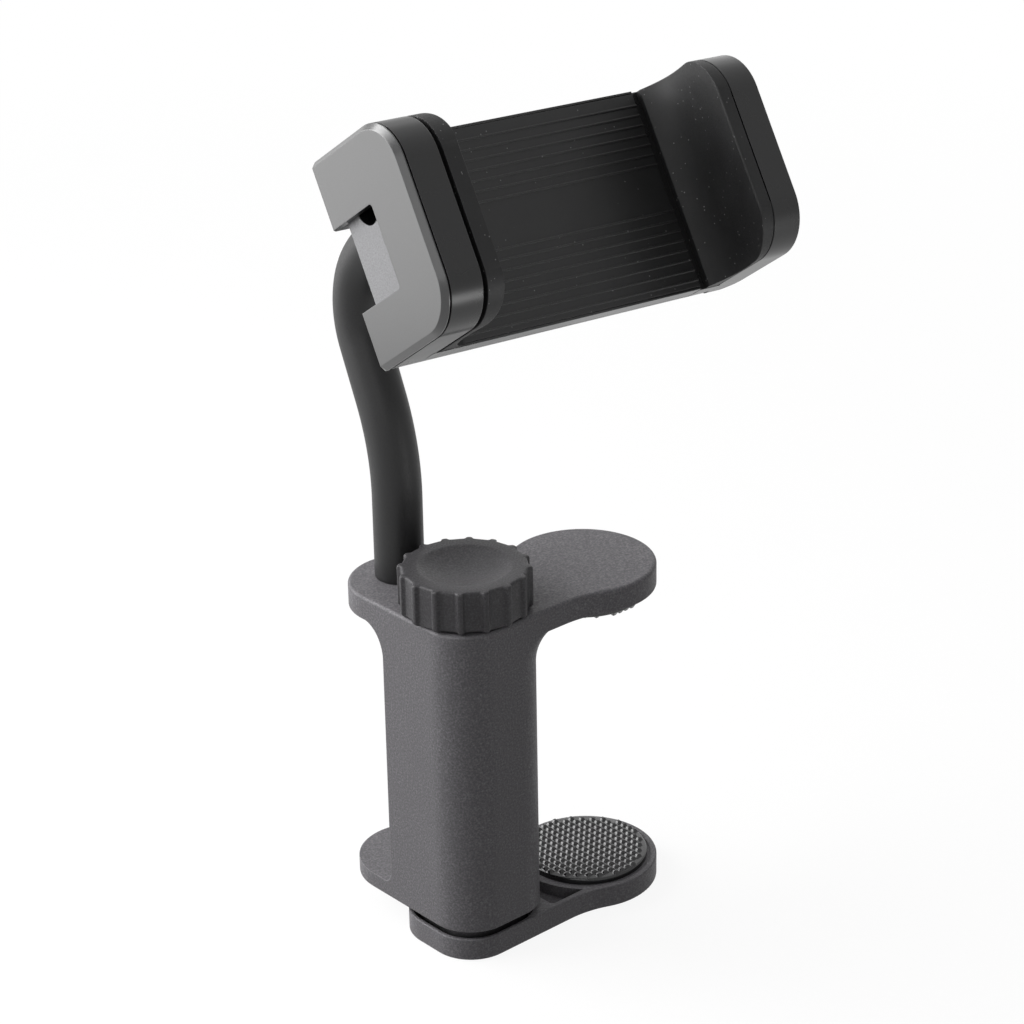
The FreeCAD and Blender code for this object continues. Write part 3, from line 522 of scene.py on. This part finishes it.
def draw_neck(name, radius, sides, cut_start, cut_end, ring, dent):
    """Draws a ring along the neck's route; dent shrinks every second ring, as in a wound hose."""
    clear_selection()
    at = NECK_SEAT + UP * cut_start
    bpy.ops.mesh.primitive_circle_add(vertices=sides, radius=radius, location=at, enter_editmode=True)
    piece = bpy.context.object
    piece.name = name
    bpy.ops.mesh.select_mode(type="VERT")
    runs = list(NECK_RUNS)
    runs[0] -= cut_start
    runs[-1] -= cut_end
    if runs[-1] <= 0:
        raise ValueError("the neck's last run is too short")
    lean = 0.0
    dented = False
    for run in runs:
        bent = isinstance(run, tuple)
        length = abs(math.radians(run[0])) * run[1] if bent else run
        steps = max(2, round(length / ring))
        if bent:
            turn = math.radians(run[0])
            toward = 1 if turn > 0 else -1
            centre = at + neck_way(lean + toward * math.pi / 2) * run[1]
        for _ in range(steps):
            if bent:
                bpy.ops.mesh.spin(steps=1, angle=turn / steps, center=centre, axis=SIDE)
                lean += turn / steps
                at = centre - neck_way(lean + toward * math.pi / 2) * run[1]
            else:
                move = neck_way(lean) * (length / steps)
                bpy.ops.mesh.extrude_region_move(TRANSFORM_OT_translate={"value": move})
                at = at + move
            if dent:
                share = 1 / dent if dented else dent
                bpy.ops.transform.resize(value=(share, share, share), center_override=at)
                dented = not dented
    return piece


class HOLDER_OT_neck(bpy.types.Operator):
    """Model the bendable neck: its soft sleeve and the wound core inside"""
    bl_idname = "holder.neck"
    bl_label = "Bendable neck"

    def execute(self, context):
        size = sizes()
        sleeve = draw_neck("neck_skin", size.neck_radius, SLEEVE_SIDES, 0.0, 0.0, SLEEVE_RING, None)
        tidy_normals()
        bpy.ops.object.mode_set(mode="OBJECT")
        apply_modifier(sleeve, "SOLIDIFY", thickness=size.neck_wall, offset=-1.0)
        apply_modifier(sleeve, "BEVEL", width=SLEEVE_EDGE, segments=3, limit_method="ANGLE",
                       angle_limit=math.radians(60))
        core = draw_neck("neck_winding", size.core_radius, CORE_SIDES, CORE_START, CORE_STOP,
                         size.core_pitch / 2, CORE_DENT)
        select_where(lambda edge: edge.is_boundary, "EDGE")
        bpy.ops.mesh.edge_face_add()
        tidy_normals()
        bpy.ops.object.mode_set(mode="OBJECT")
        for piece, finish, node, slot in ((sleeve, "soft_sleeve", "neck_sleeve", "neck_skin"),
                                          (core, "bright_steel", "neck_core", "steel")):
            set_place(piece)
            smooth_shading(piece, 50)
            set_finish(piece, finish_named(finish))
            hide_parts(node)
            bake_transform(piece)
        return {"FINISHED"}


def draw_rings(start, rings):
    """Draws the selected ring about the Z axis on through the given (radius, level) pairs."""
    radius, level = start
    for next_radius, next_level in rings:
        bpy.ops.mesh.extrude_region_move(TRANSFORM_OT_translate={"value": (0, 0, next_level - level)})
        share = next_radius / radius
        bpy.ops.transform.resize(value=(share, share, 1), center_override=(0, 0, next_level))
        radius, level = next_radius, next_level


def flute_share(off, radius, size):
    """Radius as a share of the knob's own; off is the way from a flute's middle (0) to a rib's middle (1)."""
    shoulder = min(1.0, max(0.0, (off - FLUTE_FLAT) / (1.0 - FLUTE_FLAT) * FLUTE_STEEP))
    rise = shoulder * shoulder * (3 - 2 * shoulder)
    hollow = FLUTE_SAG * (1 - min(1.0, off / FLUTE_FLAT) ** 2)
    return 1.0 - size.flute_depth / radius * (1.0 - rise + hollow) / (1.0 + FLUTE_SAG)


class HOLDER_OT_knob(bpy.types.Operator):
    """Model the clamp's knob: fluted wall, rounded rim and a dished top"""
    bl_idname = "holder.knob"
    bl_label = "Knob"

    def execute(self, context):
        size = sizes()
        low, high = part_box("knob")
        radius = high.x
        clear_selection()
        bpy.ops.mesh.primitive_circle_add(vertices=size.knob_ribs * KNOB_RIB_STEPS, radius=radius - KNOB_FOOT,
                                          location=(0, 0, low.z), enter_editmode=True)
        knob = context.object
        knob.name = "knob_fluted"
        inner, shoulder = radius - KNOB_RIM, high.z - KNOB_RIM
        rings = [(radius, low.z + KNOB_FOOT), (radius, shoulder)]
        for step in range(1, KNOB_RIM_STEPS + 1):
            turn = math.radians(90 * step / KNOB_RIM_STEPS)
            rings.append((inner + KNOB_RIM * math.cos(turn), shoulder + KNOB_RIM * math.sin(turn)))
        lip = size.dish_radius + DISH_LIP
        rings += [(lip + DISH_LAND, high.z), (lip, high.z)]
        ball = (size.dish_radius ** 2 + size.dish_depth ** 2) / (2 * size.dish_depth)
        for share in DISH_RINGS:
            out = size.dish_radius * share
            rings.append((out, high.z - size.dish_depth + ball - math.sqrt(ball ** 2 - out ** 2)))
        draw_rings((radius - KNOB_FOOT, low.z), rings)
        bpy.ops.mesh.edge_face_add()
        pitch = 2 * math.pi / size.knob_ribs
        for step in range(KNOB_RIB_STEPS // 2 + 1):
            share = flute_share(2 * step / KNOB_RIB_STEPS, radius, size)

            def in_flute(vertex):
                off = abs((math.atan2(vertex.co.y, vertex.co.x) % pitch) - pitch / 2)
                return vertex.co.xy.length > inner - 1e-5 and abs(off - pitch * step / KNOB_RIB_STEPS) < 1e-4

            select_where(in_flute)
            bpy.ops.transform.resize(value=(share, share, 1), center_override=(0, 0, 0))
        select_where(lambda edge: edge.is_boundary, "EDGE")
        bpy.ops.mesh.edge_face_add()
        tidy_normals()
        set_place(knob)
        smooth_shading(knob, 28)
        set_finish(knob, finish_named("knob_plastic"))
        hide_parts("knob")
        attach(knob, "knob_screw")
        return {"FINISHED"}


class HOLDER_OT_pads(bpy.types.Operator):
    """Model the two clamp pads: rubber discs with a square lattice of rounded bumps"""
    bl_idname = "holder.pads"
    bl_label = "Clamp pads"

    def execute(self, context):
        size = sizes()
        low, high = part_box("lower_pad")
        radius = (high.x - low.x) / 2
        thick = high.z - low.z
        floor = thick - size.bump_height
        clear_selection()
        bpy.ops.mesh.primitive_cylinder_add(vertices=PAD_SIDES, radius=radius, depth=floor,
                                            location=(0, 0, floor / 2), enter_editmode=True)
        lower = context.object
        lower.name = "lower_pad_bumpy"
        select_where(lambda edge: all(vertex.co.z > 0 for vertex in edge.verts), "EDGE")
        bpy.ops.mesh.bevel(offset=PAD_EDGE, segments=3)
        set_place(lower)
        bumps = self.add_bumps(size, radius, floor)
        join_pieces(lower, [bumps])
        smooth_shading(lower, 50)
        set_finish(lower, finish_named("pad_rubber"))
        upper = lower.copy()
        upper.data = lower.data.copy()
        upper.name = "upper_pad_bumpy"
        context.scene.collection.objects.link(upper)
        clear_selection()
        upper_low, upper_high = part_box("upper_pad")
        context.view_layer.objects.active = upper
        bpy.ops.object.mode_set(mode="EDIT")
        select_where(lambda vertex: vertex.co.z > floor / 2)
        bpy.ops.transform.translate(value=(0, 0, upper_high.z - upper_low.z - thick))
        bpy.ops.object.mode_set(mode="OBJECT")
        lower_at = Vector(((low.x + high.x) / 2, 0, low.z))
        upper_at = Vector(((upper_low.x + upper_high.x) / 2, 0, upper_high.z))
        places = ((lower, "lower_pad", "jaw", lower_at, 0), (upper, "upper_pad", "clamp", upper_at, math.pi))
        for piece, node, body, at, turn in places:
            set_place(piece, Matrix.Translation(at) @ Matrix.Rotation(turn, 4, "X"))
            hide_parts(node)
            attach(piece, body)
        return {"FINISHED"}

    def add_bumps(self, size, radius, floor):
        """One bump, repeated over the disc."""
        pitch = size.bump_pitch
        half = int(radius / pitch)
        clear_selection()
        bpy.ops.mesh.primitive_cube_add(size=1.0, enter_editmode=True)
        bumps = bpy.context.object
        height = size.bump_height + BUMP_SUNK
        wide = BUMP_FOOT * pitch
        bpy.ops.transform.resize(value=(wide, wide, height), center_override=(0, 0, 0))
        select_where(lambda vertex: vertex.co.z > 0)
        bpy.ops.transform.resize(value=(BUMP_TOP, BUMP_TOP, 1), center_override=(0, 0, 0))
        select_where(lambda edge: any(vertex.co.z > 0 for vertex in edge.verts), "EDGE")
        bpy.ops.mesh.bevel(offset=BUMP_EDGE, segments=2)
        select_where(lambda face: face.normal.z < -0.9, "FACE")
        bpy.ops.mesh.delete(type="FACE")
        start = -(half - 0.5) * pitch
        bpy.ops.mesh.select_all(action="SELECT")
        bpy.ops.transform.translate(value=(start, start, floor + size.bump_height - height / 2))
        bpy.ops.object.mode_set(mode="OBJECT")
        for step in ((pitch, 0, 0), (0, pitch, 0)):
            apply_modifier(bumps, "ARRAY", count=2 * half, use_relative_offset=False,
                           use_constant_offset=True, constant_offset_displace=step)
        bpy.ops.object.mode_set(mode="EDIT")

        def off_the_disc(vertex):
            x, y = (round(part / pitch - 0.5) * pitch + pitch / 2 for part in vertex.co.xy)
            return math.hypot(x, y) > radius - PAD_MARGIN

        select_where(off_the_disc)
        bpy.ops.mesh.delete(type="VERT")
        bpy.ops.object.mode_set(mode="OBJECT")
        return bumps


def own_copy(node, name):
    """A merged copy of a drawn piece, to be worked on."""
    clear_selection()
    piece = bpy.data.objects.new(name, nodes[node].data.copy())
    bpy.context.scene.collection.objects.link(piece)
    piece.select_set(True)
    bpy.context.view_layer.objects.active = piece
    bpy.ops.object.mode_set(mode="EDIT")
    bpy.ops.mesh.select_all(action="SELECT")
    bpy.ops.mesh.customdata_custom_splitnormals_clear()
    bpy.ops.mesh.remove_doubles(threshold=2e-6)
    bpy.ops.mesh.normals_make_consistent(inside=False)
    bpy.ops.object.mode_set(mode="OBJECT")
    return piece


def cut_groove(near, far, depth, outside):
    """Sinks a groove between two places along the clip into the sides that pass the test outside."""
    along = Vector((1, 0, 0))
    for level in (near, far):
        bpy.ops.mesh.select_all(action="SELECT")
        bpy.ops.mesh.bisect(plane_co=along * level, plane_no=along)
    low, high = sorted((near, far))

    def in_groove(face):
        middle = face.calc_center_median()
        return low < middle.x < high and abs(face.normal.x) < 0.5 and outside(middle)

    select_where(in_groove, "FACE")
    bpy.ops.mesh.extrude_region_shrink_fatten(TRANSFORM_OT_shrink_fatten={"value": -depth})


class HOLDER_OT_seams(bpy.types.Operator):
    """Model the jaw linings and the end plate with the grooves that part them from the frame"""
    bl_idname = "holder.seams"
    bl_label = "Linings and end plate"

    def execute(self, context):
        size = sizes()
        fixed_back, moving_back = self.level("fixed_jaw_pad", min), self.level("moving_jaw_pad", max)
        plate_back = self.level("end_plate", max)

        def everywhere(middle):
            return True

        def off_the_notch(middle):
            return abs(middle.y) > NOTCH_REACH or middle.z > NOTCH_REACH

        seams = (
            ("fixed_jaw_pad", "fixed_jaw_lining", "clip", "rubber", "dusty_rubber",
             fixed_back + SEAM_START, fixed_back + size.groove_width, size.groove_depth, everywhere),
            ("moving_jaw_pad", "moving_jaw_lining", "slide_jaw", "rubber", "dusty_rubber",
             moving_back - SEAM_START, moving_back - size.seam_width, size.seam_depth, everywhere),
            ("end_plate", "end_plate_seamed", "clip", "black_plastic", "plate_black",
             plate_back - SEAM_START, plate_back - size.seam_width, size.seam_depth, off_the_notch),
        )
        for node, name, body, slot, finish, near, far, depth, outside in seams:
            piece = own_copy(node, name)
            set_place(piece, CLIP_FRAME.inverted())
            bpy.ops.object.mode_set(mode="EDIT")
            cut_groove(near, far, depth, outside)
            bpy.ops.object.mode_set(mode="OBJECT")
            set_place(piece, CLIP_FRAME)
            even_shading(piece, 30)
            set_finish(piece, finish_named(finish))
            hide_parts(node)
            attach(piece, body)
        return {"FINISHED"}

    def level(self, node, pick):
        """Where a drawn piece starts or stops along the clip."""
        back = CLIP_FRAME.inverted()
        return pick((back @ vertex.co).x for vertex in nodes[node].data.vertices)


class HOLDER_OT_bed(bpy.types.Operator):
    """Model the ribbed rubber bed"""
    bl_idname = "holder.bed"
    bl_label = "Ribbed bed"

    def execute(self, context):
        size = sizes()
        start, stop, half, thick = BED
        clear_selection()
        bpy.ops.mesh.primitive_cube_add(size=1.0, location=((start + stop) / 2, 0, -thick / 2),
                                        scale=(stop - start, 2 * half, thick))
        bed = context.object
        bed.name = "bed_ribbed"
        set_place(bed)
        rows = [UPPER_RIBS + size.rib_pitch * i for i in range(size.upper_ribs)]
        rows += [LOWER_RIBS - size.rib_pitch * i for i in range(size.lower_ribs)]
        bpy.ops.object.mode_set(mode="EDIT")
        for y in rows:
            for edge in (y - size.rib_width / 2, y + size.rib_width / 2):
                bpy.ops.mesh.select_all(action="SELECT")
                bpy.ops.mesh.bisect(plane_co=(0, edge, 0), plane_no=(0, 1, 0))

        def on_a_rib(face):
            middle = face.calc_center_median()
            return face.normal.z > 0.9 and any(abs(middle.y - y) < size.rib_width / 4 for y in rows)

        select_where(on_a_rib, "FACE")
        bpy.ops.mesh.extrude_region_move(TRANSFORM_OT_translate={"value": (0, 0, size.rib_height)})

        def on_top(edge):
            return all(vertex.co.z > -1e-6 for vertex in edge.verts) and edge.calc_face_angle(0) > 0.5

        select_where(on_top, "EDGE")
        bpy.ops.mesh.bevel(offset=RIB_EDGE, segments=2)
        tidy_normals()
        bpy.ops.object.mode_set(mode="OBJECT")
        set_place(bed, CLIP_FRAME)
        even_shading(bed, 40)
        set_finish(bed, finish_named("bed_rubber"))
        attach(bed, "clip")
        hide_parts("bed_pad")
        return {"FINISHED"}


class HOLDER_OT_notch(bpy.types.Operator):
    """Model the grey panel at the bottom of the end plate's notch"""
    bl_idname = "holder.notch"
    bl_label = "Notch panel"

    def execute(self, context):
        clear_selection()
        low_y, high_y, low_z, high_z = NOTCH
        middle = (NOTCH_X - PANEL_THICK / 2, (low_y + high_y) / 2, (low_z + high_z) / 2)
        bpy.ops.mesh.primitive_cube_add(size=1.0, location=middle,
                                        scale=(PANEL_THICK, high_y - low_y, high_z - low_z))
        panel = context.object
        panel.name = "notch_panel"
        set_place(panel)
        bpy.ops.mesh.primitive_cylinder_add(vertices=BORE_SIDES, radius=BORE_R, depth=BORE_DEPTH,
                                            rotation=(0, math.pi / 2, 0), location=(NOTCH_X, *BORE_AT))
        bore = context.object
        apply_modifier(panel, "BOOLEAN", object=bore, operation="DIFFERENCE")
        bpy.data.objects.remove(bore)
        apply_modifier(panel, "BEVEL", width=PANEL_EDGE, segments=2, limit_method="ANGLE")
        set_place(panel, CLIP_FRAME)
        even_shading(panel, 40)
        set_finish(panel, finish_named("notch_grey"))
        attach(panel, "clip")
        return {"FINISHED"}


class HOLDER_OT_springs(bpy.types.Operator):
    """Model the two springs that close the clip"""
    bl_idname = "holder.springs"
    bl_label = "Springs"

    def execute(self, context):
        size = sizes()
        long = SPRING_STOP - SPRING_START - 2 * size.spring_wire
        clear_selection()
        bpy.ops.mesh.primitive_circle_add(vertices=WIRE_SIDES, radius=size.spring_wire,
                                          rotation=(math.pi / 2, 0, 0),
                                          location=(size.spring_radius - size.spring_wire, 0, 0))
        first = context.object
        first.name = "clip_spring_1"
        set_place(first)
        apply_modifier(first, "SCREW", angle=2 * math.pi, iterations=size.spring_turns,
                       steps=COIL_STEPS, render_steps=COIL_STEPS,
                       screw_offset=long / size.spring_turns, use_merge_vertices=True)
        bpy.ops.object.mode_set(mode="EDIT")
        select_where(lambda edge: edge.is_boundary, "EDGE")
        bpy.ops.mesh.edge_face_add()
        tidy_normals()
        bpy.ops.object.mode_set(mode="OBJECT")
        second = first.copy()
        second.data = first.data.copy()
        second.name = "clip_spring_2"
        context.scene.collection.objects.link(second)
        for piece, side, node in ((first, SPRING_SIDE, "spring_1"), (second, -SPRING_SIDE, "spring_2")):
            start = Matrix.Translation((SPRING_START + size.spring_wire, side, SPRING_LEVEL))
            set_place(piece, CLIP_FRAME @ start @ Matrix.Rotation(math.pi / 2, 4, "Y"))
            smooth_shading(piece, 60)
            set_finish(piece, finish_named("bright_steel"))
            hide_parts(node)
            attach(piece, "clip")
            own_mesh(piece)
        return {"FINISHED"}


class HOLDER_OT_finishes(bpy.types.Operator):
    """Give the pieces that keep their drawn shape their finish"""
    bl_idname = "holder.finishes"
    bl_label = "Finishes"

    def execute(self, context):
        given = {
            "charcoal_grain": ["clamp_body", "lower_jaw"],
            "satin_black": ["slider", "ball_socket", "lock_ring"],
            "polished_black": ["clip_frame", "moving_jaw", "back_cover"],
            "bright_steel": ["lead_screw", "screw_clip", "thrust_washer", "neck_foot", "pivot_screw",
                             "pivot_washer", "spring_rod_1", "spring_rod_2"],
            "blackened_steel": ["neck_screw", "ball_stud", "cover_screw_1", "cover_screw_2",
                                "cover_screw_3", "cover_screw_4"],
            "turned_brass": ["stem_nut"],
        }
        for finish, names in given.items():
            for name in names:
                set_finish(nodes[name], finish_named(finish))
        return {"FINISHED"}


def seen_and_mirrored(tree):
    """Shares of the rays that are seen straight or through clear pieces, and of those that are mirrored."""
    path = add_node(tree, "ShaderNodeLightPath").outputs
    seen = computed(tree, "MAXIMUM", path["Is Camera Ray"], path["Is Transmission Ray"])
    return seen, path["Is Glossy Ray"]


def add_floor():
    """Pale floor that shows the holder's shadow and turns to white away from it."""
    clear_selection()
    bpy.ops.mesh.primitive_circle_add(vertices=FLOOR_SIDES, radius=1.0, fill_type="NGON",
                                      location=(0, 0, -FLOOR_DROP), enter_editmode=True)
    floor = bpy.context.object
    floor.name = "floor"
    bpy.ops.mesh.inset(thickness=FLOOR_INSET)
    bpy.ops.object.mode_set(mode="OBJECT")
    floor.scale = (FLOOR_REACH, FLOOR_REACH, 1)
    set_place(floor)
    material, tree, shader, place = blank_finish("pale_floor")
    speck = noise(tree, place, scale=35.0, detail=3.0, roughness=0.5)
    pale = colours().floor
    tint = ramp(tree, speck, [(0.3, shade(pale, 0.985)), (0.7, shade(pale, 1.015))])
    seen, mirrored = seen_and_mirrored(tree)
    feed(tree, shader, {
        "Base Color": mixed(tree, seen, shade(pale, 0.08), tint),
        "Roughness": 0.9,
        "Specular IOR Level": 0.1,
    })
    glow = add_node(tree, "ShaderNodeEmission", {"Color": grey(1.0), "Strength": 1.0})
    faded = scaled(tree, vector_value(tree, "LENGTH", place), 0.15, 0.7, 0.9, 1.0)
    share = computed(tree, "MULTIPLY_ADD", seen, faded, computed(tree, "MULTIPLY", mirrored, 0.95))
    both = add_node(tree, "ShaderNodeMixShader", {0: share, 1: shader.outputs["BSDF"],
                                                  2: glow.outputs["Emission"]})
    feed(tree, tree.nodes["Material Output"], {"Surface": both.outputs["Shader"]})
    set_finish(floor, material)


def add_world(scene):
    """White where it is seen, brighter on one side where it lights or is mirrored."""
    world = bpy.data.worlds.new("white_room")
    scene.world = world
    world.use_nodes = True
    tree = world.node_tree
    toward = add_node(tree, "ShaderNodeTexCoord").outputs["Generated"]
    facing = vector_value(tree, "DOT_PRODUCT", toward, BRIGHT_SIDE)
    soft = tree.nodes["Background"]
    light = ramp(tree, scaled(tree, facing, -0.8, 0.6), [(0.0, grey(0.13)), (1.0, grey(0.5))])
    feed(tree, soft, {"Color": light})
    walls = ramp(tree, scaled(tree, facing, -0.6, 0.3), [(0.0, grey(0.72)), (1.0, grey(0.88))])
    room = add_node(tree, "ShaderNodeBackground", {"Color": walls})
    white = add_node(tree, "ShaderNodeBackground", {"Color": grey(1.0), "Strength": 1.0})
    seen, mirrored = seen_and_mirrored(tree)
    unseen = add_node(tree, "ShaderNodeMixShader", {0: mirrored, 1: soft.outputs["Background"],
                                                    2: room.outputs["Background"]})
    both = add_node(tree, "ShaderNodeMixShader", {0: seen, 1: unseen.outputs["Shader"],
                                                  2: white.outputs["Background"]})
    feed(tree, tree.nodes["World Output"], {"Surface": both.outputs["Shader"]})


def add_lamp(name, at, target, width, height, watts, spread):
    bpy.ops.object.light_add(type="AREA", location=at)
    lamp = bpy.context.object
    lamp.name = name
    lamp.rotation_euler = (Vector(target) - Vector(at)).to_track_quat("-Z", "Y").to_euler()
    lamp.data.shape = "RECTANGLE"
    lamp.data.size = width
    lamp.data.size_y = height
    lamp.data.energy = watts
    lamp.data.spread = math.radians(spread)
    lamp.visible_camera = False


def add_camera(scene):
    bpy.ops.object.camera_add(location=CAMERA_AT)
    camera = bpy.context.object
    camera.name = "photo_camera"
    camera.rotation_euler = Matrix((CAMERA_RIGHT, CAMERA_UP, CAMERA_BACK)).transposed().to_euler()
    camera.data.sensor_width = 36.0
    camera.data.lens = CAMERA_LENS
    camera.data.clip_start = 0.01
    scene.camera = camera


class HOLDER_OT_stage(bpy.types.Operator):
    """Set up the pale floor, the soft lamps, the white surroundings and the camera"""
    bl_idname = "holder.stage"
    bl_label = "Stage"

    def execute(self, context):
        add_floor()
        add_world(context.scene)
        for lamp in LAMPS:
            add_lamp(*lamp)
        add_camera(context.scene)
        context.scene.view_settings.view_transform = "Standard"
        return {"FINISHED"}


class HOLDER_PT_panel(bpy.types.Panel):
    """Lists the steps that make the holder"""
    bl_idname = "HOLDER_PT_panel"
    bl_label = "Guitar phone holder"
    bl_space_type = "VIEW_3D"
    bl_region_type = "UI"
    bl_category = "Holder"

    def draw(self, context):
        layout = self.layout
        for step in STEPS:
            layout.operator(step.bl_idname)
        for group in (sizes(), colours()):
            column = layout.column()
            for name in group.__annotations__:
                column.prop(group, name)


STEPS = [HOLDER_OT_finishes, HOLDER_OT_neck, HOLDER_OT_knob, HOLDER_OT_pads, HOLDER_OT_seams,
         HOLDER_OT_bed, HOLDER_OT_notch, HOLDER_OT_springs, HOLDER_OT_stage]
CLASSES = [HolderSizes, HolderColours, *STEPS, HOLDER_PT_panel]


def register():
    for made in CLASSES:
        bpy.utils.register_class(made)
    bpy.types.Scene.holder_sizes = PointerProperty(type=HolderSizes)
    bpy.types.Scene.holder_colours = PointerProperty(type=HolderColours)


def unregister():
    del bpy.types.Scene.holder_colours
    del bpy.types.Scene.holder_sizes
    for made in reversed(CLASSES):
        bpy.utils.unregister_class(made)


def main():
    register()
    bpy.ops.holder.finishes()
    bpy.ops.holder.neck()
    bpy.ops.holder.knob()
    bpy.ops.holder.pads()
    bpy.ops.holder.seams()
    bpy.ops.holder.bed()
    bpy.ops.holder.notch()
    bpy.ops.holder.springs()
    bpy.ops.holder.stage()


if __name__ == "__main__":
    main()
